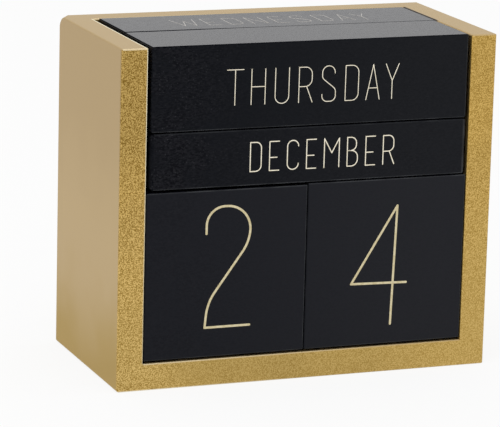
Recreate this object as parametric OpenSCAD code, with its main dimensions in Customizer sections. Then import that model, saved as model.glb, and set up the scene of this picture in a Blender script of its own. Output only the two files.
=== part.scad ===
// Perpetual desk calendar.
//
// A case of four glued boards, open at the front and at the top, holds seven loose blocks:
// two date cubes side by side, three month bars lying one behind another on the cubes, and
// two weekday bars lying on the month bars. A block is taken out by hand and put back with
// another of its faces to the front.
//
// X runs across the front, -Y points out of the open front and +Z is up. The origin is the
// middle of the rectangle that the case stands on. Sizes are in millimetres.

/* [Blocks] */
// Edge of the right date cube; both rows of bars are cut to fill the same depth
cube_edge = 50.4; // [40:0.1:70]
// How much smaller the left date cube is than the right one
left_cube_trim = 0.4; // [0:0.1:1]
// How much thinner the rear weekday bar is than the front one
weekday_rear_trim = 0.1; // [0:0.1:1.5]
// Radius on the edges of a block
block_ease = 0.4; // [0.2:0.1:2]
// Radius on the edges round each end of a month bar
month_end_ease = 1.5; // [0.2:0.1:2]
// Radius on the lower edge of each end of a weekday bar
weekday_foot_ease = 1; // [0.2:0.1:2]

/* [Case] */
// Thickness of the two side panels
side_t = 8; // [7:0.1:14]
// Thickness of the back panel
back_t = 8; // [6:0.1:14]
// Thickness of the base panel
base_t = 8.1; // [7:0.1:16]
// Radius on the edges of the boards
edge_ease = 0.5; // [0.2:0.1:1]
// Radius on the lower left and lower right corners of the case
foot_ease = 0.9; // [0.2:0.1:3]
// Radius on the bottom rear edge of the case
back_foot_ease = 1.4; // [0.4:0.1:3]
// Radius of the worn top rear corner of the left side panel, at its outer face
worn_corner_r = 5; // [2:0.5:8]
// How far from the outer face the worn corner runs out
worn_corner_run = 2.5; // [1:0.5:6]

/* [Clearances] */
// Gap between neighbouring bars of one row
block_gap = 0.3; // [0.1:0.05:0.6]
// Gap between the two date cubes
cube_gap = 0.3; // [0.1:0.05:0.8]
// Gap between the date cubes and each side panel
side_gap = 0.2; // [0.1:0.05:1]
// Play of a month bar between the side panels
month_play = 1.6; // [0.4:0.1:3]
// Gap at the left end of a month bar
month_left_gap = 1.1; // [0.1:0.1:1.5]
// Play of a weekday bar between the side panels
weekday_play = 2.2; // [0.4:0.1:3]
// Gap at the left end of the front weekday bar
weekday_front_left_gap = 1.2; // [0.1:0.1:2.1]
// Gap at the left end of the rear weekday bar
weekday_rear_left_gap = 1.7; // [0.1:0.1:2.1]
// Gap under the date cubes
cube_seat_gap = 0.6; // [0.1:0.05:0.8]
// Gap under each row of bars
bar_seat_gap = 0.4; // [0.1:0.05:0.6]
// Gap between the blocks and the back panel
rear_gap = 0.3; // [0.1:0.05:1]
// How far the blocks stand back from the front edges of the case
front_recess = 0.3; // [0:0.1:3]
// How far the weekday bars stand above the case
top_proud = 0.2; // [0:0.1:3]

/* [Dowels] */
// Diameter of the dowels that join the boards
dowel_d = 4; // [3:0.5:5]
// Length of a dowel in the face of one board
dowel_in_face = 4.6; // [3:0.1:5.5]
// Length of a dowel in the edge of the other board
dowel_in_edge = 9.4; // [6:0.1:14]
// Radial room for glue around a dowel
dowel_fit = 0.05; // [0.02:0.01:0.1]
// Room at each end of a dowel
dowel_end_gap = 0.3; // [0.2:0.1:1]
// Chamfer on both ends of a dowel
dowel_chamfer = 0.5; // [0.2:0.1:1]
// Radius of the glue flutes along a dowel
flute_r = 0.3; // [0.2:0.05:0.5]
// From an outer face of the case to the nearest dowel of a side joint
dowel_inset = 13; // [9:0.5:16]
// From a side panel to the nearest dowel between base and back
back_dowel_inset = 24; // [20:0.5:32]

/* [Hidden] */

// Twelve months and seven days on four-sided bars
month_bars = 3;
weekday_bars = 2;
flutes = 8;

left_cube_edge = cube_edge - left_cube_trim;

// Sides of the square bars
month_bar_side = (cube_edge - (month_bars - 1) * block_gap) / month_bars;
weekday_bar_side = (cube_edge - (weekday_bars - 1) * block_gap) / weekday_bars;

// The case is built round the blocks
cavity_w = left_cube_edge + cube_gap + cube_edge + 2 * side_gap;
cavity_d = front_recess + cube_edge + rear_gap;
case_w = cavity_w + 2 * side_t;
case_d = cavity_d + back_t;
front_y = -case_d / 2;
back_face_y = front_y + cavity_d;

// Lengths of the bars
month_bar_l = cavity_w - month_play;
weekday_bar_l = cavity_w - weekday_play;

// Undersides of the three rows, and the top of the case
cube_z = base_t + cube_seat_gap;
month_z = cube_z + cube_edge + bar_seat_gap;
weekday_z = month_z + month_bar_side + bar_seat_gap;
case_h = weekday_z + weekday_bar_side - top_proud;

// Dowel places: [y, z] on the inner face of a side panel, and x on the top of the base
base_joint = [for (y = [front_y + dowel_inset, case_d / 2 - dowel_inset]) [y, base_t / 2]];
back_joint = [for (z = [base_t + dowel_inset, case_h - dowel_inset]) [back_face_y + back_t / 2, z]];
back_foot_joint = [for (side = [-1, 1]) side * (cavity_w / 2 - back_dowel_inset)];

// How far a cutter reaches past what it cuts
over = 1;

gold_paint = [0.74, 0.61, 0.38];
black_paint = [0.13, 0.13, 0.145];
beech = [0.80, 0.66, 0.47];
$fn = 64;

// ---- Outlines and edges ----

// What a radius takes off a square corner at the origin, the board lying in +X and +Y
module corner_waste(r) {
    difference() {
        translate([-over, -over])
            square(r + over);
        translate([r, r])
            circle(r);
    }
}

// Rectangle with a radius for each corner: lower left, lower right, upper right, upper left
module eased_rect(size, radii) {
    difference() {
        square(size);
        corner_waste(radii[0]);
        translate([size.x, 0])
            mirror([1, 0])
                corner_waste(radii[1]);
        translate(size)
            rotate(180)
                corner_waste(radii[2]);
        translate([0, size.y])
            mirror([0, 1])
                corner_waste(radii[3]);
    }
}

// Box with rounded edges: its outlines from above, from the front and from the side, crossed
module eased_box(size, plan, front, side) {
    intersection() {
        linear_extrude(size.z)
            eased_rect([size.x, size.y], plan);
        translate([0, size.y, 0])
            rotate([90, 0, 0])
                linear_extrude(size.y)
                    eased_rect([size.x, size.z], front);
        rotate([90, 0, 90])
            linear_extrude(size.x)
                eased_rect([size.y, size.z], side);
    }
}

function all_corners(r) = [r, r, r, r];

// ---- Case ----

// Waste along an edge that runs in X or Y, the board lying below the edge
module edge_waste_x(length) {
    rotate([90, 0, 90])
        linear_extrude(length)
            mirror([0, 1])
                corner_waste(edge_ease);
}

module edge_waste_y(length) {
    rotate([90, 0, 0])
        linear_extrude(length)
            mirror([0, 1])
                corner_waste(edge_ease);
}

// The rounding of the edges round the mouth of the cavity
module mouth_waste() {
    for (side = [0, 1])
        mirror([side, 0, 0]) {
            translate([cavity_w / 2, front_y, base_t])
                linear_extrude(case_h)
                    corner_waste(edge_ease);
            translate([cavity_w / 2, back_face_y, case_h])
                edge_waste_y(cavity_d + over);
        }
    translate([-cavity_w / 2, front_y, base_t])
        edge_waste_x(cavity_w);
    translate([-cavity_w / 2, back_face_y, case_h])
        edge_waste_x(cavity_w);
}

// The whole case as one block with its cavity, which the joints divide into boards
module case_form() {
    difference() {
        translate([-case_w / 2, front_y, 0])
            eased_box(
                [case_w, case_d, case_h],
                plan = all_corners(edge_ease),
                front = [foot_ease, foot_ease, edge_ease, edge_ease],
                side = [edge_ease, back_foot_ease, edge_ease, edge_ease]
            );
        translate([-cavity_w / 2, front_y - over, base_t])
            cube([cavity_w, cavity_d + over, case_h]);
        mouth_waste();
    }
}

// The share of the case form from one corner to the opposite one
module board(low, high) {
    intersection() {
        case_form();
        translate(low)
            cube(high - low);
    }
}

// Side panel at -X, over the full height and depth of the case
module side_board() {
    difference() {
        board([-case_w / 2 - over, front_y - over, -over], [-cavity_w / 2, case_d / 2 + over, case_h + over]);
        side_joint_holes(base_joint);
        side_joint_holes(back_joint);
    }
}

// What wear took off the top rear corner of the left side panel, tapering to its eased edge
module worn_corner_waste() {
    translate([-case_w / 2, case_d / 2, case_h])
        rotate([90, 0, 90])
            linear_extrude(worn_corner_run, scale = edge_ease / worn_corner_r)
                rotate(180)
                    corner_waste(worn_corner_r);
}

module left_side_panel() {
    color(gold_paint)
        difference() {
            side_board();
            worn_corner_waste();
        }
}

module right_side_panel() {
    color(gold_paint)
        mirror([1, 0, 0])
            side_board();
}

// Base, between the side panels and under the back
module base_panel() {
    color(gold_paint)
        difference() {
            board([-cavity_w / 2, front_y - over, -over], [cavity_w / 2, case_d / 2 + over, base_t]);
            both_sides()
                side_joint_holes(base_joint);
            back_foot_places()
                dowel_hole();
        }
}

// Back, between the side panels and standing on the base
module back_panel() {
    color(gold_paint)
        difference() {
            board([-cavity_w / 2, back_face_y, base_t], [cavity_w / 2, case_d / 2 + over, case_h + over]);
            both_sides()
                side_joint_holes(back_joint);
            back_foot_places()
                dowel_hole();
        }
}

// ---- Dowels ----

// Fluted dowel along Z: in the face of one board below the origin, in the edge of another above
module dowel() {
    r = dowel_d / 2;
    difference() {
        rotate_extrude()
            polygon([
                [0, -dowel_in_face], [r - dowel_chamfer, -dowel_in_face],
                [r, dowel_chamfer - dowel_in_face], [r, dowel_in_edge - dowel_chamfer],
                [r - dowel_chamfer, dowel_in_edge], [0, dowel_in_edge],
            ]);
        for (turn = [0 : flutes - 1])
            rotate(turn * 360 / flutes)
                translate([r, 0, -dowel_in_face - over])
                    cylinder(r = flute_r, h = dowel_in_face + dowel_in_edge + 2 * over);
    }
}

// Blind bore for a dowel, through the joint between two boards
module dowel_hole() {
    translate([0, 0, -dowel_in_face - dowel_end_gap])
        cylinder(d = dowel_d + 2 * dowel_fit, h = dowel_in_face + dowel_in_edge + 2 * dowel_end_gap);
}

module both_sides() {
    children();
    mirror([1, 0, 0])
        children();
}

// Children at each place of a joint on the left side panel, their Z axis pointing inwards
module side_joint_places(joint) {
    for (place = joint)
        translate([-cavity_w / 2, place[0], place[1]])
            rotate([0, 90, 0])
                children();
}

module side_joint_holes(joint) {
    side_joint_places(joint)
        dowel_hole();
}

// Children at each dowel between base and back, their Z axis pointing up
module back_foot_places() {
    for (x = back_foot_joint)
        translate([x, back_face_y + back_t / 2, base_t])
            children();
}

module side_dowels(joint) {
    color(beech)
        side_joint_places(joint)
            dowel();
}

module dowels_base_left() {
    side_dowels(base_joint);
}

module dowels_base_right() {
    mirror([1, 0, 0])
        side_dowels(base_joint);
}

module dowels_back_left() {
    side_dowels(back_joint);
}

module dowels_back_right() {
    mirror([1, 0, 0])
        side_dowels(back_joint);
}

module dowels_back_base() {
    color(beech)
        back_foot_places()
            dowel();
}

// ---- Blocks ----

// Block with rounded edges, its lower front left corner at the origin. The radii are those of
// its four upright edges, and of the four corners of its front.
module block(size, upright_ease, front_ease) {
    color(black_paint)
        eased_box(size, all_corners(upright_ease), front_ease, all_corners(block_ease));
}

// Date cube whose left side is at x
module date_cube(edge, x) {
    translate([x, bar_y(0, edge), cube_z])
        block([edge, edge, edge], block_ease, all_corners(block_ease));
}

// Front of a bar, counted from the front of its row
function bar_y(index, pitch_side) = front_y + front_recess + index * (pitch_side + block_gap);

module month_bar(index) {
    translate([month_left_gap - cavity_w / 2, bar_y(index, month_bar_side), month_z])
        block([month_bar_l, month_bar_side, month_bar_side], month_end_ease, all_corners(month_end_ease));
}

module weekday_bar(index, left_gap, side) {
    translate([left_gap - cavity_w / 2, bar_y(index, weekday_bar_side), weekday_z])
        block([weekday_bar_l, side, side], block_ease, [weekday_foot_ease, weekday_foot_ease, block_ease, block_ease]);
}

module date_cube_left() {
    date_cube(left_cube_edge, side_gap - cavity_w / 2);
}

module date_cube_right() {
    date_cube(cube_edge, cavity_w / 2 - side_gap - cube_edge);
}

module month_bar_front() {
    month_bar(0);
}

module month_bar_middle() {
    month_bar(1);
}

module month_bar_rear() {
    month_bar(month_bars - 1);
}

module weekday_bar_front() {
    weekday_bar(0, weekday_front_left_gap, weekday_bar_side);
}

module weekday_bar_rear() {
    weekday_bar(weekday_bars - 1, weekday_rear_left_gap, weekday_bar_side - weekday_rear_trim);
}

left_side_panel();
right_side_panel();
back_panel();
base_panel();
dowels_base_left();
dowels_base_right();
dowels_back_left();
dowels_back_right();
dowels_back_base();
date_cube_left();
date_cube_right();
month_bar_front();
month_bar_middle();
month_bar_rear();
weekday_bar_front();
weekday_bar_rear();
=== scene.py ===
import math

import bpy
from mathutils import Matrix, Quaternion, Vector


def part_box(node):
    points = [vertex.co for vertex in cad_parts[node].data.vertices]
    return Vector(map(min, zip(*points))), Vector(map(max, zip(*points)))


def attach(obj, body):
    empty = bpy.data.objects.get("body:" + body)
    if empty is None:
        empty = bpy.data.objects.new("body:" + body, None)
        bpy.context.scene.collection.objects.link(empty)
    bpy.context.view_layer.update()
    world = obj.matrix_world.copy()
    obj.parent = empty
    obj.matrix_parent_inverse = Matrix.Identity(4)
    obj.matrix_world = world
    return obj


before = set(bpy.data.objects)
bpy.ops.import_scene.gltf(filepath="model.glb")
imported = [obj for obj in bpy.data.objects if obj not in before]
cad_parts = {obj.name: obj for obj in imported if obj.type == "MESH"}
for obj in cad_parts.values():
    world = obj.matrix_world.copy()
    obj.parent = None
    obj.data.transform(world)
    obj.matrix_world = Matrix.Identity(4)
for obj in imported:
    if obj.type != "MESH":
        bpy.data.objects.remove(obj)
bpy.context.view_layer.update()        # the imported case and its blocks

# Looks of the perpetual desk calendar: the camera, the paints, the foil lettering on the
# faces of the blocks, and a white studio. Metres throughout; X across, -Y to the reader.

MM = 0.001
BOARDS = ["left_side_panel", "right_side_panel", "back_panel", "base_panel"]
WEEKDAY_BARS = ["weekday_bar_front", "weekday_bar_rear"]
MONTH_BARS = ["month_bar_front", "month_bar_middle", "month_bar_rear"]
CUBES = ["date_cube_left", "date_cube_right"]
DOWELS = [
    "dowels_base_left", "dowels_base_right", "dowels_back_left", "dowels_back_right", "dowels_back_base",
]


# ---------------------------------------------------------------- camera

# The photograph's view: a long lens, from the left of the front and a little above
LENS = 229.1
SENSOR = 36
CAMERA_PLACE = Vector((-344.3, -871.6, 261.2)) * MM
CAMERA_AIM = Vector((-6.78, 0.54, 43.73)) * MM
CAMERA_ROLL = math.radians(1.49)


def add_camera():
    data = bpy.data.cameras.new("camera")
    data.sensor_width = SENSOR
    data.lens = LENS
    data.clip_start = 0.05
    data.clip_end = 20
    camera = bpy.data.objects.new("camera", data)
    camera.location = CAMERA_PLACE
    camera.rotation_mode = "QUATERNION"
    look = (CAMERA_AIM - CAMERA_PLACE).to_track_quat("-Z", "Y")
    camera.rotation_quaternion = look @ Quaternion((0, 0, 1), CAMERA_ROLL)
    bpy.context.scene.collection.objects.link(camera)
    bpy.context.scene.camera = camera


# ---------------------------------------------------------------- node graphs

class Graph:
    """The nodes of one material. Each method adds a node and returns the socket of its result."""

    def __init__(self, name):
        self.material = bpy.data.materials.new(name)
        self.material.use_nodes = True
        self.tree = self.material.node_tree
        self.tree.nodes.clear()

    def node(self, kind, inputs=None, **settings):
        made = self.tree.nodes.new(kind)
        for key, value in settings.items():
            setattr(made, key, value)
        for key, value in (inputs or {}).items():
            if isinstance(value, bpy.types.NodeSocket):
                self.tree.links.new(value, made.inputs[key])
            else:
                made.inputs[key].default_value = value
        return made

    def place(self):
        """Places in the object's own axes, which are the frame's at rest."""
        return self.node("ShaderNodeTexCoord").outputs["Object"]

    def split(self, vector):
        parts = self.node("ShaderNodeSeparateXYZ", {"Vector": vector})
        return [parts.outputs[axis] for axis in "XYZ"]

    def facing(self):
        """The object's own normal as three sockets."""
        return self.split(self.node("ShaderNodeTexCoord").outputs["Normal"])

    def math(self, operation, a, b=0.0):
        return self.node("ShaderNodeMath", {0: a, 1: b}, operation=operation).outputs[0]

    def fold(self, operation, values):
        """One operation over several values, from the first to the last."""
        result = values[0]
        for value in values[1:]:
            result = self.math(operation, result, value)
        return result

    def times(self, *values):
        return self.fold("MULTIPLY", values)

    def most(self, *values):
        return self.fold("MAXIMUM", values)

    def total(self, *values):
        return self.fold("ADD", values)

    def noise(self, place, size, detail=2.0, roughness=0.5):
        """Noise from 0 to 1 whose blotches are about size metres across."""
        inputs = {"Vector": place, "Scale": 1 / size, "Detail": detail, "Roughness": roughness}
        return self.node("ShaderNodeTexNoise", inputs).outputs["Fac"]

    def stretched(self, place, scale):
        """Places scaled along each axis, which draws a noise out where the scale is below 1."""
        return self.node("ShaderNodeMapping", {"Vector": place, "Scale": scale}).outputs[0]

    def step(self, value, low, high, to_low=0.0, to_high=1.0):
        """Goes smoothly from to_low to to_high while the value goes from low to high."""
        inputs = {"Value": value, "From Min": low, "From Max": high, "To Min": to_low, "To Max": to_high}
        return self.node("ShaderNodeMapRange", inputs, interpolation_type="SMOOTHSTEP").outputs[0]

    def mix(self, factor, a, b):
        """Colour a where the factor is 0, and b where it is 1."""
        return self.node("ShaderNodeMix", {0: factor, 6: a, 7: b}, data_type="RGBA").outputs[2]

    def multiplied(self, a, b):
        inputs = {0: 1.0, 6: a, 7: b}
        return self.node("ShaderNodeMix", inputs, data_type="RGBA", blend_type="MULTIPLY").outputs[2]

    def bump(self, height, distance, strength):
        inputs = {"Height": height, "Distance": distance, "Strength": strength}
        return self.node("ShaderNodeBump", inputs).outputs[0]

    def edges(self):
        """1 on the rounded edges of a box and 0 on its flat faces."""
        flattest = self.most(*(self.math("ABSOLUTE", part) for part in self.facing()))
        return self.step(flattest, 0.995, 0.93)

    def shade(self, inputs):
        shader = self.node("ShaderNodeBsdfPrincipled", inputs)
        self.node("ShaderNodeOutputMaterial", {"Surface": shader.outputs[0]})
        return self.material


def colour(red, green, blue):
    return (red, green, blue, 1.0)


# ---------------------------------------------------------------- paints

# Where the paints change: the case's front, the left side of its mouth, the back board's inner
# face, and the joint between the two weekday bars
FRONT_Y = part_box("base_panel")[0].y
MOUTH_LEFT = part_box("base_panel")[0].x
BACK_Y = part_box("back_panel")[0].y
SEAM_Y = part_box("weekday_bar_rear")[0].y

# Smooth gold of a board's faces, with painted light: lighter below the middle, a painted reflection of
# deeper gold low down, and a paler painted sheen on top
GOLD_UPPER = colour(0.460, 0.324, 0.148)
GOLD_PAINTED_LIGHT = colour(0.504, 0.363, 0.172)
GOLD_FOOT_REFLECTION = colour(0.412, 0.268, 0.052)
GOLD_TOP_SHEEN = colour(0.475, 0.340, 0.156)
GOLD_DRIFT = 22 * MM               # size of the blotches by which its tones drift up and down
# Nearly white painted highlight along the rims
GOLD_RIM_HIGHLIGHT = colour(0.97, 0.90, 0.68)
# Dark brown painted shadow of the gap beside the right rim
GAP_SHADOW_BROWN = colour(0.030, 0.018, 0.008)

# Grainy gold of the front edges: sizes of its grains and patches, its duller and brighter level
# of red, between which painted light moves it, and how much green and blue come with that red
GRAIN = 0.29 * MM
GRAINY_PATCH = 25 * MM
GRAINY_LEVELS = 0.37, 0.50
GRAINY_GREEN = 0.65
GRAINY_BLUE = 0.175
# The flecks' share of that red, green and blue, where the paint is smoothest and coarsest
DARK_FLECKS = (0.80, 0.76, 0.60), (0.50, 0.43, 0.18)
LIGHT_FLECKS = (1.22, 1.27, 1.46), (1.56, 1.66, 2.15)
GRAINY_FOOT_TINT = colour(1.0, 1.03, 1.12)
GRAINY_TOP_TINT = colour(1.0, 0.98, 0.90)

# Black paint: base colours at the left, lighter on the lower blocks as painted light, how much
# lighter they are at the right as painted light, the bluish painted sheen of the tops, the marks on
# them, whose light strokes are partly painted reflection, the grey painted highlight on the edges,
# and the sizes of the brush strokes, of the patches they lie in, of the specks and of the
# patches of painted edge highlight
WEEKDAY_BLACK = (0.0042, 0.0050, 0.0070)
MONTH_BLACK = (0.0048, 0.0055, 0.0076)
CUBE_BLACK = (0.0100, 0.0106, 0.0138)
BLACK_RISE_PAINTED_LIGHT = 0.0052
# Bluish painted sheen of the top faces
BLACK_TOP_SHEEN = colour(0.0045, 0.0045, 0.0095)
STROKE_DARK = colour(0.0, 0.0, 0.001)
# Light brush strokes, partly real marks and partly painted reflection off the orange peel
STROKE_GLINT = colour(0.015, 0.015, 0.018)
SPECK = colour(0.040, 0.040, 0.045)
# Grey painted highlight on the rounded edges
BLACK_EDGE_HIGHLIGHT = colour(0.040, 0.042, 0.046)
BRUSH_STROKE = 0.42 * MM
BRUSHED_PATCH = 9 * MM
SPECK_SIZE = 0.55 * MM
EDGE_HIGHLIGHT_PATCH = 7 * MM
SEAM_SHADE_REACH = 1.0 * MM               # reach of the painted shade, where the gloss is taken away, to each side of the weekday bars' joint

# The foil's dark and light tones: on the bars, on the cubes, and a darker, greyer copy as painted shade
# for the rear weekday bar's top
PALE_FOIL = colour(0.82, 0.75, 0.58), colour(0.95, 0.89, 0.74)
DEEP_FOIL = colour(0.58, 0.495, 0.29), colour(0.70, 0.62, 0.41)
FAINT_FOIL = colour(0.34, 0.32, 0.29), colour(0.62, 0.59, 0.55)
FOIL_MOTTLE = 0.8 * MM

# Wood of the dowels
BEECH_DARK = colour(0.50, 0.32, 0.15)
BEECH_LIGHT = colour(0.68, 0.48, 0.26)
BEECH_GRAIN = 0.8 * MM


def gold_paint():
    """Metallic gold paint: smooth on the boards' faces, grainy where it soaked into a cut edge, and
    carrying painted light, reflection, sheen, highlight and shadow.
    """
    g = Graph("gold_paint")
    grain = g.noise(g.place(), GRAIN, detail=1)
    front = front_edges(g)
    painted = g.mix(front, smooth_gold(g), grainy_gold(g, grain))
    # painted highlight along the rims, nearly white
    lit = g.mix(painted_rim_highlights(g), painted, GOLD_RIM_HIGHLIGHT)
    return g.shade({
        # painted shadow of the gap, dark brown on the right rim
        "Base Color": g.mix(painted_gap_shadow(g), lit, GAP_SHADOW_BROWN),
        "Metallic": 0.9,
        "Roughness": 0.45,
        "Normal": g.bump(g.times(grain, front), distance=0.03 * MM, strength=0.5),
    })


def front_edges(g):
    """1 on the grainy front edges, which reach round the corner to the sides, most at the top."""
    _, y, z = g.split(g.place())
    _, out_y, out_z = g.facing()
    reach = g.step(z, 0.0, 100 * MM, FRONT_Y + 0.5 * MM, FRONT_Y + 1.2 * MM)
    spilt = g.math("LESS_THAN", y, reach)
    facing = g.most(g.step(out_y, -0.02, -0.12), spilt)
    return g.times(facing, g.step(out_z, 0.45, 0.15))


def smooth_gold(g):
    """The faces' paint: lightest below the middle as painted light, deeper at the foot as painted
    reflection, most at the left, and paler on the top faces as painted sheen.
    """
    _, _, z = g.split(g.place())
    out_x, _, out_z = g.facing()
    drift = g.step(g.noise(g.place(), GOLD_DRIFT), 0.3, 0.7, -5 * MM, 5 * MM)
    height = g.total(z, drift)
    # painted light: lightest below the middle
    upper = g.mix(g.step(height, 78 * MM, 40 * MM), GOLD_UPPER, GOLD_PAINTED_LIGHT)
    # painted reflection: deeper gold at the foot, most on the left face
    foot = g.times(g.step(height, 36 * MM, 0.0), g.step(out_x, -0.2, -0.6, 0.35, 1.0))
    side = g.mix(foot, upper, GOLD_FOOT_REFLECTION)
    # painted sheen: paler on the top faces
    return g.mix(g.step(out_z, 0.5, 0.9), side, GOLD_TOP_SHEEN)


def grainy_gold(g, grain):
    """Dark and light flecks of deeper gold, coarsest at the top left."""
    _, _, z = g.split(g.place())
    # painted light sets how bright the grains are
    level, coarse = grainy_painted_light(g), coarseness(g)
    dark = g.mix(level, *(flecks(g, coarse, red, DARK_FLECKS) for red in GRAINY_LEVELS))
    light = g.mix(level, *(flecks(g, coarse, red, LIGHT_FLECKS) for red in GRAINY_LEVELS))
    flecked = g.mix(g.step(grain, 0.36, 0.64), dark, light)
    tint = g.mix(g.step(z, 5 * MM, 90 * MM), GRAINY_FOOT_TINT, GRAINY_TOP_TINT)
    return g.multiplied(flecked, tint)


def grainy_painted_light(g):
    """How bright the grainy gold is, as painted light and shade: least at the top left and along the
    middle of the base, brighter at the right foot, with random patches.
    """
    x, _, z = g.split(g.place())
    far = g.math("SUBTRACT", g.step(x, -55 * MM, -20 * MM), g.step(z, 20 * MM, 90 * MM, 0.0, 0.9))
    along_base = g.step(g.math("ABSOLUTE", x), 50 * MM, 20 * MM)
    middle = g.times(along_base, g.step(z, 14 * MM, 7 * MM, 0.0, -0.4))
    right_foot = g.times(g.step(x, 44 * MM, 54 * MM), g.step(z, 75 * MM, 25 * MM, 0.0, 0.4))
    patch = g.step(g.noise(g.place(), GRAINY_PATCH, detail=1), 0.3, 0.7, -0.15, 0.15)
    return g.total(g.step(far, -0.9, -0.1, 0.1, 0.9), middle, right_foot, patch)


def coarseness(g):
    """How strongly the flecks stand out: most on the left board, and more higher up."""
    x, _, z = g.split(g.place())
    upper = g.step(z, 8 * MM, 60 * MM, -0.08, 0.27)
    return g.total(upper, g.step(x, -52 * MM, -30 * MM, 0.58, 0.05))


def flecks(g, coarse, level, shares):
    """Flecks of the gold of one level, from the smoothest paint to the coarsest."""
    even, rough = [gold(level, share) for share in shares]
    return g.mix(coarse, even, rough)


def gold(level, share):
    """Colour of the grainy gold at one level of red, times a share of each channel."""
    red, green, blue = share
    return colour(level * red, GRAINY_GREEN * level * green, GRAINY_BLUE * level * blue)


def painted_rim_highlights(g):
    """How much painted highlight the rims get: up the mouth's left rim, less along the base and the
    boards' upper front edges, and fully in a line on the left board's top, beside the mouth."""
    x, y, z = g.split(g.place())
    out_x, out_y, out_z = g.facing()
    left = g.step(x, MOUTH_LEFT + 0.1 * MM, MOUTH_LEFT - 0.1 * MM)
    left_rim = g.times(left, g.step(z, 5 * MM, 95 * MM, 0.45, 1.0))
    base_rim = g.step(x, MOUTH_LEFT, 15 * MM, 0.45, 0.08)
    inner = g.times(g.most(left_rim, base_rim), g.step(out_x, -0.05, 0.0))
    top_front = g.times(g.step(out_y, -0.2, -0.5), g.step(out_z, 0.2, 0.5))
    shared = g.mix(top_front, inner, g.step(x, -50 * MM, 50 * MM, 0.27, 0.05))
    line = g.times(left, g.step(x, MOUTH_LEFT - 0.8 * MM, MOUTH_LEFT - 0.6 * MM))
    on_top = g.times(g.step(out_z, 0.7, 0.9), g.step(y, BACK_Y, BACK_Y - 0.3 * MM))
    return g.most(g.times(g.edges(), shared), g.times(line, on_top))


def painted_gap_shadow(g):
    """1 where the gap's shadow is painted dark brown: the right side's upper rim, beside the rear
    weekday bar.
    """
    x, y, _ = g.split(g.place())
    out_x, _, out_z = g.facing()
    right = g.times(g.step(x, 45 * MM, 46 * MM), g.step(out_x, -0.03, -0.12))
    beside = g.times(g.step(y, SEAM_Y - MM, SEAM_Y + MM), g.step(out_z, 0.1, 0.2))
    return g.times(right, beside)


def black_paint(name, base, brush_and_glint, upper_highlight, seam_shade=0.0):
    """Satin black paint on wood, with brush marks and specks most at its left, their light strokes
    partly painted reflection. It carries painted light: lighter at its right, a bluish painted sheen on
    top, and painted highlight on the edges.
    """
    g = Graph(name)
    place = g.place()
    x, _, _ = g.split(place)
    _, _, out_z = g.facing()
    lighter = colour(*(part + BLACK_RISE_PAINTED_LIGHT for part in base))
    # painted light: lighter towards the right
    plain = g.mix(g.step(x, -50 * MM, 50 * MM), colour(*base), lighter)
    # bluish painted sheen on the top faces
    with_top_sheen = g.mix(g.step(out_z, 0.8, 0.95), plain, BLACK_TOP_SHEEN)
    strokes = g.noise(g.stretched(place, (0.5, 1, 1)), BRUSH_STROKE, detail=2, roughness=0.6)
    # brush strokes, their light ones partly painted reflection, strongest at the left
    streaks_and_glints = g.mix(g.step(strokes, 0.35, 0.68), STROKE_DARK, STROKE_GLINT)
    patchy = g.step(g.noise(place, BRUSHED_PATCH, detail=1), 0.35, 0.6, 0.4, 1.0)
    share = g.times(patchy, g.step(x, -46 * MM, -18 * MM, brush_and_glint, 0.25 * brush_and_glint))
    specks = g.times(g.step(g.noise(place, SPECK_SIZE, detail=0), 0.70, 0.78), share)
    marked = g.mix(specks, g.mix(share, with_top_sheen, streaks_and_glints), SPECK)
    return g.shade({
        # painted highlight on the rounded edges, in patches
        "Base Color": g.mix(painted_edge_highlights(g, upper_highlight), marked, BLACK_EDGE_HIGHLIGHT),
        "Roughness": g.step(strokes, 0.3, 0.7, 0.25, 0.31),
        "IOR": 1.35,
        "Specular IOR Level": gloss(g, upper_highlight, seam_shade),
        "Specular Tint": colour(0.16, 0.16, 0.17),
        "Normal": g.bump(strokes, distance=0.010 * MM, strength=0.5),
    })


def painted_edge_highlights(g, upper_highlight):
    """How much painted highlight the edges get, in patches: least at the left ends, and the given share
    above.
    """
    out_x, _, out_z = g.facing()
    patches = g.step(g.noise(g.place(), EDGE_HIGHLIGHT_PATCH), 0.35, 0.65, 0.35, 1.0)
    above = g.step(out_z, -0.1, 0.3, 1.0, upper_highlight)
    right = g.step(out_x, -0.3, -0.1, 0.1, 1.0)
    return g.times(g.edges(), patches, above, right)


def gloss(g, upper_highlight, seam_shade):
    """The paint's gloss. It is taken away as painted shade on the left edges, on the upper ones
    that get no painted highlight, and as far as the given reach to each side of the weekday bars' joint
    at the left."""
    x, y, _ = g.split(g.place())
    out_x, out_y, out_z = g.facing()
    turned = g.step(g.math("ABSOLUTE", out_y), 0.03, 0.12)
    upper = g.times(turned, g.step(out_z, 0.1, 0.3, 0.0, 1.0 - upper_highlight))
    left = g.times(g.edges(), g.step(out_x, -0.1, -0.3))
    away = g.math("ABSOLUTE", g.math("SUBTRACT", y, SEAM_Y))
    # painted shade of the weekday bars' joint: no gloss beside it
    beside = g.math("LESS_THAN", away, g.step(x, -36 * MM, 16 * MM, seam_shade, 0.0))
    return g.step(g.most(upper, left, beside), 0.0, 1.0, 0.5, 0.0)


def gold_foil(name, dark, light):
    """Thin metal foil, mottled from dark to light."""
    g = Graph(name)
    mottle = g.noise(g.place(), FOIL_MOTTLE)
    return g.shade({
        "Base Color": g.mix(g.step(mottle, 0.3, 0.7), dark, light),
        "Metallic": 1.0,
        "Roughness": 0.36,
    })


def beech():
    """Plain wood of the dowels, its grain along Z."""
    g = Graph("beech")
    grain = g.noise(g.stretched(g.place(), (1, 1, 0.1)), BEECH_GRAIN, detail=3)
    return g.shade({
        "Base Color": g.mix(grain, BEECH_DARK, BEECH_LIGHT),
        "Roughness": 0.6,
    })


def paint_nodes(names, material):
    for name in names:
        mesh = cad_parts[name].data
        mesh.materials.clear()
        mesh.materials.append(material)


# ---------------------------------------------------------------- lettering

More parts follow.
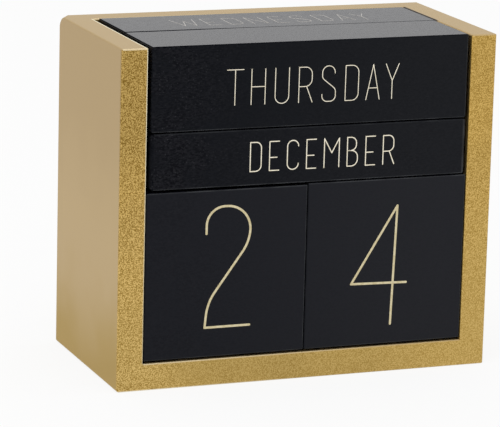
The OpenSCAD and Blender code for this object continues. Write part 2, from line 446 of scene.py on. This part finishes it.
# A glyph is its width and its strokes, in cap heights above the baseline. A stroke is a run
# of points; a point with a third number is a bend of that radius, and one without is sharp.
GLYPHS = {
    "A": (0.41, [[(0, 0), (0.205, 1), (0.41, 0)], [(0.068, 0.33), (0.342, 0.33)]]),
    "B": (0.38, [
        [(0, 0.54), (0, 1), (0.33, 1, 0.2), (0.33, 0.54, 0.2), (0, 0.54)],
        [(0, 0.54), (0.38, 0.54, 0.23), (0.38, 0, 0.23), (0, 0), (0, 0.54)],
    ]),
    "C": (0.40, [[(0.4, 0.8), (0.4, 1, 0.2), (0, 1, 0.2), (0, 0, 0.2), (0.4, 0, 0.2), (0.4, 0.2)]]),
    "D": (0.395, [[(0, 0), (0, 1), (0.395, 1, 0.2), (0.395, 0, 0.2), (0, 0)]]),
    "E": (0.345, [[(0.345, 1), (0, 1), (0, 0), (0.345, 0)], [(0, 0.45), (0.27, 0.45)]]),
    "F": (0.345, [[(0.345, 1), (0, 1), (0, 0)], [(0, 0.45), (0.27, 0.45)]]),
    "G": (0.42, [[
        (0.42, 0.8), (0.42, 1, 0.21), (0, 1, 0.21), (0, 0, 0.21), (0.42, 0, 0.21),
        (0.42, 0.44), (0.22, 0.44),
    ]]),
    "H": (0.41, [[(0, 0), (0, 1)], [(0.41, 0), (0.41, 1)], [(0, 0.5), (0.41, 0.5)]]),
    "I": (0.00, [[(0, 0), (0, 1)]]),
    "J": (0.30, [[(0.3, 1), (0.3, 0, 0.15), (0, 0, 0.15), (0, 0.2)]]),
    "L": (0.34, [[(0, 1), (0, 0), (0.34, 0)]]),
    "M": (0.545, [[(0, 0), (0, 1), (0.275, 0.5), (0.545, 1), (0.545, 0)]]),
    "N": (0.43, [[(0, 0), (0, 1), (0.43, 0), (0.43, 1)]]),
    "O": (0.42, [[(0.21, 0), (0, 0, 0.21), (0, 1, 0.21), (0.42, 1, 0.21), (0.42, 0, 0.21), (0.21, 0)]]),
    "P": (0.39, [[(0, 0), (0, 1), (0.39, 1, 0.2), (0.39, 0.45, 0.2), (0, 0.45)]]),
    "R": (0.40, [
        [(0, 0), (0, 1), (0.39, 1, 0.2), (0.39, 0.45, 0.2), (0, 0.45)],
        [(0.23, 0.45), (0.41, 0)],
    ]),
    "S": (0.405, [[
        (0.38, 0.8), (0.38, 1.01, 0.19), (0, 1.01, 0.19), (0, 0.665, 0.155), (0.405, 0.345, 0.17),
        (0.405, 0, 0.155), (0, 0, 0.155), (0, 0.2),
    ]]),
    "T": (0.49, [[(0, 1), (0.49, 1)], [(0.245, 1), (0.245, 0)]]),
    "U": (0.41, [[(0, 1), (0, 0, 0.205), (0.41, 0, 0.205), (0.41, 1)]]),
    "V": (0.44, [[(0, 1), (0.22, 0), (0.44, 1)]]),
    "W": (0.68, [[(0, 1), (0.17, 0), (0.34, 0.75), (0.51, 0), (0.68, 1)]]),
    "Y": (0.40, [[(0, 1), (0.2, 0.52), (0.4, 1)], [(0.2, 0.52), (0.2, 0)]]),
    "0": (0.385, [[
        (0.19, 0), (0, 0, 0.19), (0, 1, 0.19), (0.385, 1, 0.19), (0.385, 0, 0.19), (0.19, 0),
    ]]),
    "1": (0.12, [[(0, 0.86), (0.12, 1), (0.12, 0)]]),
    "2": (0.386, [[
        (0, 0.78), (0, 1, 0.155), (0.41, 1, 0.2), (0.36, 0.68, 0.345), (0.02, 0.206, 0.395),
        (0, 0), (0.386, 0),
    ]]),
    "3": (0.37, [
        [(0, 0.8), (0, 1, 0.17), (0.35, 1, 0.17), (0.35, 0.54, 0.17), (0.13, 0.54)],
        [(0.13, 0.54), (0.37, 0.54, 0.19), (0.37, 0, 0.18), (0, 0, 0.18), (0, 0.2)],
    ]),
    "4": (0.49, [[(0.36, 0), (0.39, 1), (0, 0.36), (0.49, 0.348)]]),
    "5": (0.37, [[
        (0.35, 1), (0.02, 1), (0.02, 0.57), (0.37, 0.57, 0.2), (0.37, 0, 0.18), (0, 0, 0.18), (0, 0.2),
    ]]),
    "6": (0.385, [[
        (0.31, 1), (0, 0.52, 0.5), (0, 0, 0.19), (0.385, 0, 0.19), (0.385, 0.56, 0.19),
        (0, 0.56, 0.19), (0, 0.37),
    ]]),
    "7": (0.38, [[(0, 1), (0.38, 1), (0.1, 0)]]),
    "8": (0.38, [
        [(0.19, 0.55), (0.02, 0.55, 0.17), (0.02, 1, 0.17), (0.36, 1, 0.17), (0.36, 0.55, 0.17),
         (0.19, 0.55)],
        [(0.19, 0.55), (0, 0.55, 0.19), (0, 0, 0.19), (0.38, 0, 0.19), (0.38, 0.55, 0.19),
         (0.19, 0.55)],
    ]),
}
LETTER_GAP = 0.30       # between two glyphs, in cap heights
SLANTED = "ATVWY"       # glyphs that stand closer to their neighbours
SLANT_TRIM = 0.06       # how much closer, on each side
BEND_STEPS = 12         # points along a bend
FOIL_RISE = 0.04 * MM   # the foil's crown above the paint
FOIL_ROOT = 0.01 * MM   # its underside, just below the paint
CROWN_STEPS = 6         # points across the crown
CAP_STEPS = 4           # steps in a stroke's round end
SAME_POINT = 1e-4       # points nearer than this are one, in cap heights

# Faces of a block at rest, as the directions of a text's reading and of its upper side.
# A bar rolls about X to bring its next face to the front, and a cube also turns about Z.
FACES = {
    "front": (Vector((1, 0, 0)), Vector((0, 0, 1))),
    "top": (Vector((1, 0, 0)), Vector((0, 1, 0))),
    "back": (Vector((1, 0, 0)), Vector((0, 0, -1))),
    "under": (Vector((1, 0, 0)), Vector((0, -1, 0))),
    "left": (Vector((0, -1, 0)), Vector((0, 0, 1))),
    "right": (Vector((0, 1, 0)), Vector((0, 0, 1))),
}


def bend(before, corner, after, radius):
    """Points of the round bend that replaces a corner."""
    back, ahead = (before - corner).normalized(), (after - corner).normalized()
    half = back.angle(ahead) / 2
    start, end = corner + back * radius / math.tan(half), corner + ahead * radius / math.tan(half)
    centre = corner + (back + ahead).normalized() * radius / math.sin(half)
    arm, turn = start - centre, (start - centre).angle(end - centre)
    side = ((end - centre) - arm * math.cos(turn)) / math.sin(turn)
    steps = [turn * i / BEND_STEPS for i in range(BEND_STEPS + 1)]
    return [centre + arm * math.cos(a) + side * math.sin(a) for a in steps]


def smooth_runs(stroke):
    """A stroke as runs of points without a sharp corner, in cap heights."""
    points = [Vector(p[:2]) for p in stroke]
    runs, run = [], [points[0]]
    for i in range(1, len(stroke) - 1):
        if len(stroke[i]) == 3:
            run += bend(points[i - 1], points[i], points[i + 1], stroke[i][2])
        else:
            runs.append(run + [points[i]])
            run = [points[i]]
    runs.append(run + [points[-1]])
    return [without_repeats(r) for r in runs]


def without_repeats(run):
    kept = [run[0]]
    for p in run[1:]:
        if (p - kept[-1]).length > SAME_POINT:
            kept.append(p)
    return kept


def glyph_lefts(text):
    """Where each glyph of a text starts when the text is centred, in cap heights."""
    lefts = [0.0]
    for before, after in zip(text, text[1:]):
        trims = sum(c in SLANTED for c in (before, after))
        lefts.append(lefts[-1] + GLYPHS[before][0] + LETTER_GAP - SLANT_TRIM * trims)
    width = lefts[-1] + GLYPHS[text[-1]][0]
    return [left - width / 2 for left in lefts]


def text_runs(text):
    """All the runs of a text, centred on its middle, in cap heights."""
    runs = []
    for c, left in zip(text, glyph_lefts(text)):
        shift = Vector((left, -0.5))
        runs += [[p + shift for p in run] for stroke in GLYPHS[c][1] for run in smooth_runs(stroke)]
    return runs


def stroke_rings(run, half_width):
    """Rings (centre, sideways, scale) along a run, drawn in at both ends to round them off."""
    def along(i):
        return (run[min(i + 1, len(run) - 1)] - run[max(i - 1, 0)]).normalized()

    def sideways(direction):
        return Vector((-direction.y, direction.x))

    def cap(point, direction, outwards):
        angles = [math.pi / 2 * k / CAP_STEPS for k in range(1, CAP_STEPS)]
        return [
            (point + direction * outwards * half_width * math.sin(a), sideways(direction), math.cos(a))
            for a in angles
        ]

    first, last = along(0), along(len(run) - 1)
    body = [(p, sideways(along(i)), 1.0) for i, p in enumerate(run)]
    return cap(run[0], first, -1)[::-1] + body + cap(run[-1], last, 1)


def add_stroke(vertices, faces, rings, half_width, origin, right, up):
    """A raised bead along the rings, closed underneath and at both ends."""
    out = right.cross(up)
    base, count = len(vertices), CROWN_STEPS + 1
    for centre, side, scale in rings:
        for k in range(count):
            angle = math.pi * k / CROWN_STEPS
            flat = centre + side * half_width * scale * math.cos(angle)
            rise = FOIL_RISE * scale * math.sin(angle) if 0 < k < CROWN_STEPS else -FOIL_ROOT
            vertices.append(origin + right * flat.x + up * flat.y + out * rise)
    for i in range(len(rings) - 1):
        low, high = base + i * count, base + (i + 1) * count
        for k in range(count):
            after = (k + 1) % count
            faces.append((low + k, high + k, high + after, low + after))
    faces.append(tuple(base + k for k in range(count)))
    end = base + (len(rings) - 1) * count
    faces.append(tuple(end + k for k in reversed(range(count))))


def add_lettering(block, face, text, height, stroke, material, setting):
    """Foil text on one face of a block. Its setting is how far right, up and turned it lies."""
    right, up = FACES[face]
    low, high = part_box(block)
    out = right.cross(up)
    middle = (low + high) / 2
    reach = abs((high - low).dot(out)) / 2
    origin = middle + out * reach + (right * setting[0] + up * setting[1]) * MM
    turn = Matrix.Rotation(math.radians(setting[2]), 2)
    vertices, faces = [], []
    for run in text_runs(text):
        sized = [turn @ p * height for p in run]
        add_stroke(vertices, faces, stroke_rings(sized, stroke / 2), stroke / 2, origin, right, up)
    name = f"foil_{block}_{face}"
    mesh = bpy.data.meshes.new(name)
    mesh.from_pydata(vertices, [], faces)
    mesh.validate()
    mesh.shade_smooth()
    mesh.materials.append(material)
    piece = bpy.data.objects.new(name, mesh)
    bpy.context.scene.collection.objects.link(piece)
    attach(piece, block)


# Cap heights and stroke widths of the three rows
WEEKDAY_CAP, WEEKDAY_STROKE = 10.4 * MM, 0.26 * MM
MONTH_CAP, MONTH_STROKE = 8.63 * MM, 0.33 * MM
FIGURE_CAP, FIGURE_STROKE = 36.2 * MM, 0.74 * MM

WEEKDAYS = {
    "weekday_bar_front": {"front": "THURSDAY", "back": "FRIDAY", "under": "SATURDAY"},
    "weekday_bar_rear": {"front": "TUESDAY", "top": "WEDNESDAY", "back": "SUNDAY", "under": "MONDAY"},
}
MONTHS = {
    "month_bar_front": {"front": "DECEMBER", "top": "SEPTEMBER", "back": "OCTOBER", "under": "NOVEMBER"},
    "month_bar_middle": {"front": "MAY", "top": "JUNE", "back": "JULY", "under": "AUGUST"},
    "month_bar_rear": {"front": "JANUARY", "top": "FEBRUARY", "back": "MARCH", "under": "APRIL"},
}
FIGURES = {
    "date_cube_left": {"front": "2", "top": "0", "back": "1", "under": "6", "left": "7", "right": "8"},
    "date_cube_right": {"front": "4", "top": "3", "back": "5", "under": "2", "left": "1", "right": "0"},
}
# The foil isn't pressed on quite in the middle: right and up in millimetres, and degrees turned
SETTINGS = {
    ("weekday_bar_front", "front"): (0.42, -0.42, -0.3),
    ("weekday_bar_rear", "top"): (0.9, -1.1, -0.8),
    ("month_bar_front", "front"): (3.74, 0.15, 0.0),
    ("date_cube_left", "front"): (0.7, 2.0, 0.0),
    ("date_cube_right", "front"): (-1.85, -1.2, 0.0),
}
CENTRED = (0.0, 0.0, 0.0)
SHADED_TOP_TEXT = ("weekday_bar_rear", "top")


def add_all_lettering():
    """The words and numbers of every block, in rows of one height, stroke and foil."""
    pale = gold_foil("pale_foil", *PALE_FOIL)
    deep = gold_foil("deep_foil", *DEEP_FOIL)
    faint = gold_foil("faint_foil", *FAINT_FOIL)
    rows = [
        (WEEKDAYS, WEEKDAY_CAP, WEEKDAY_STROKE, pale),
        (MONTHS, MONTH_CAP, MONTH_STROKE, pale),
        (FIGURES, FIGURE_CAP, FIGURE_STROKE, deep),
    ]
    for blocks, height, stroke, foil in rows:
        for block, texts in blocks.items():
            for face, text in texts.items():
                # the text on the rear weekday bar's top gets the darker, greyer foil, as painted shade
                material = faint if (block, face) == SHADED_TOP_TEXT else foil
                setting = SETTINGS.get((block, face), CENTRED)
                add_lettering(block, face, text, height, stroke, material, setting)


# ---------------------------------------------------------------- studio

FLOOR_RADIUS = 3.0
FLOOR_Z = -0.05 * MM      # just clear of the case's underside
FLOOR_SIDES = 64
FLOOR_GREY = colour(0.9, 0.9, 0.9)
FLOOR_WHITE = 0.88        # how much of the floor is plain white where it is seen directly
WHITE = colour(0.98, 0.98, 0.98)
AMBIENT = 0.85
LAMP_AIM = Vector((0, 0, 0.05))


def seen_directly(tree):
    """1 for camera, glossy and transmission rays, which see the studio as plain white."""
    nodes, links = tree.nodes, tree.links
    rays = nodes.new("ShaderNodeLightPath")
    shown = rays.outputs["Is Camera Ray"]
    for kind in ("Is Glossy Ray", "Is Transmission Ray"):
        either = nodes.new("ShaderNodeMath")
        either.operation = "MAXIMUM"
        links.new(shown, either.inputs[0])
        links.new(rays.outputs[kind], either.inputs[1])
        shown = either.outputs[0]
    return shown


def add_floor():
    """White floor that keeps a faint shadow of the object."""
    mesh = bpy.data.meshes.new("floor")
    rim = [2 * math.pi * i / FLOOR_SIDES for i in range(FLOOR_SIDES)]
    corners = [(FLOOR_RADIUS * math.cos(a), FLOOR_RADIUS * math.sin(a), FLOOR_Z) for a in rim]
    mesh.from_pydata(corners, [], [tuple(range(FLOOR_SIDES))])
    floor = bpy.data.objects.new("floor", mesh)
    bpy.context.scene.collection.objects.link(floor)
    g = Graph("floor_white")
    plain = g.node("ShaderNodeBsdfDiffuse", {"Color": FLOOR_GREY})
    white = g.node("ShaderNodeEmission", {"Color": WHITE, "Strength": 1.0})
    share = g.times(seen_directly(g.tree), FLOOR_WHITE)
    mixed = g.node("ShaderNodeMixShader", {0: share, 1: plain.outputs[0], 2: white.outputs[0]})
    g.node("ShaderNodeOutputMaterial", {"Surface": mixed.outputs[0]})
    mesh.materials.append(g.material)


def add_world():
    """Even soft light, seen as plain white."""
    world = bpy.data.worlds.new("studio")
    bpy.context.scene.world = world
    world.use_nodes = True
    tree = world.node_tree
    tree.nodes.clear()
    soft = tree.nodes.new("ShaderNodeBackground")
    soft.inputs["Color"].default_value = colour(1, 1, 1)
    soft.inputs["Strength"].default_value = AMBIENT
    white = tree.nodes.new("ShaderNodeBackground")
    white.inputs["Color"].default_value = WHITE
    white.inputs["Strength"].default_value = 1.0
    mixed = tree.nodes.new("ShaderNodeMixShader")
    tree.links.new(seen_directly(tree), mixed.inputs[0])
    tree.links.new(soft.outputs[0], mixed.inputs[1])
    tree.links.new(white.outputs[0], mixed.inputs[2])
    out = tree.nodes.new("ShaderNodeOutputWorld")
    tree.links.new(mixed.outputs[0], out.inputs["Surface"])


def add_lamp(name, place, size, power):
    data = bpy.data.lights.new(name, "AREA")
    data.shape = "DISK"
    data.size = size
    data.energy = power
    lamp = bpy.data.objects.new(name, data)
    lamp.location = place
    lamp.rotation_mode = "QUATERNION"
    lamp.rotation_quaternion = (LAMP_AIM - Vector(place)).to_track_quat("-Z", "Y")
    lamp.visible_camera = False
    bpy.context.scene.collection.objects.link(lamp)


def add_studio():
    add_world()
    add_floor()
    add_lamp("overhead", (-0.15, -0.2, 1.6), size=1.2, power=6)
    add_lamp("left_fill", (-1.2, -0.9, 0.8), size=0.9, power=4)
    bpy.context.scene.view_settings.view_transform = "Standard"


# ---------------------------------------------------------------- the whole

add_camera()
paint_nodes(BOARDS, gold_paint())
paint_nodes(DOWELS, beech())
# The three blacks grow lighter from the weekday bars down to the cubes, as painted light
weekday_paint = black_paint(
    "black_weekdays", WEEKDAY_BLACK, brush_and_glint=0.5, upper_highlight=0.0, seam_shade=SEAM_SHADE_REACH,
)
paint_nodes(WEEKDAY_BARS, weekday_paint)
paint_nodes(MONTH_BARS, black_paint("black_months", MONTH_BLACK, brush_and_glint=0.7, upper_highlight=0.5))
paint_nodes(CUBES, black_paint("black_cubes", CUBE_BLACK, brush_and_glint=0.2, upper_highlight=1.0))
add_all_lettering()
add_studio()
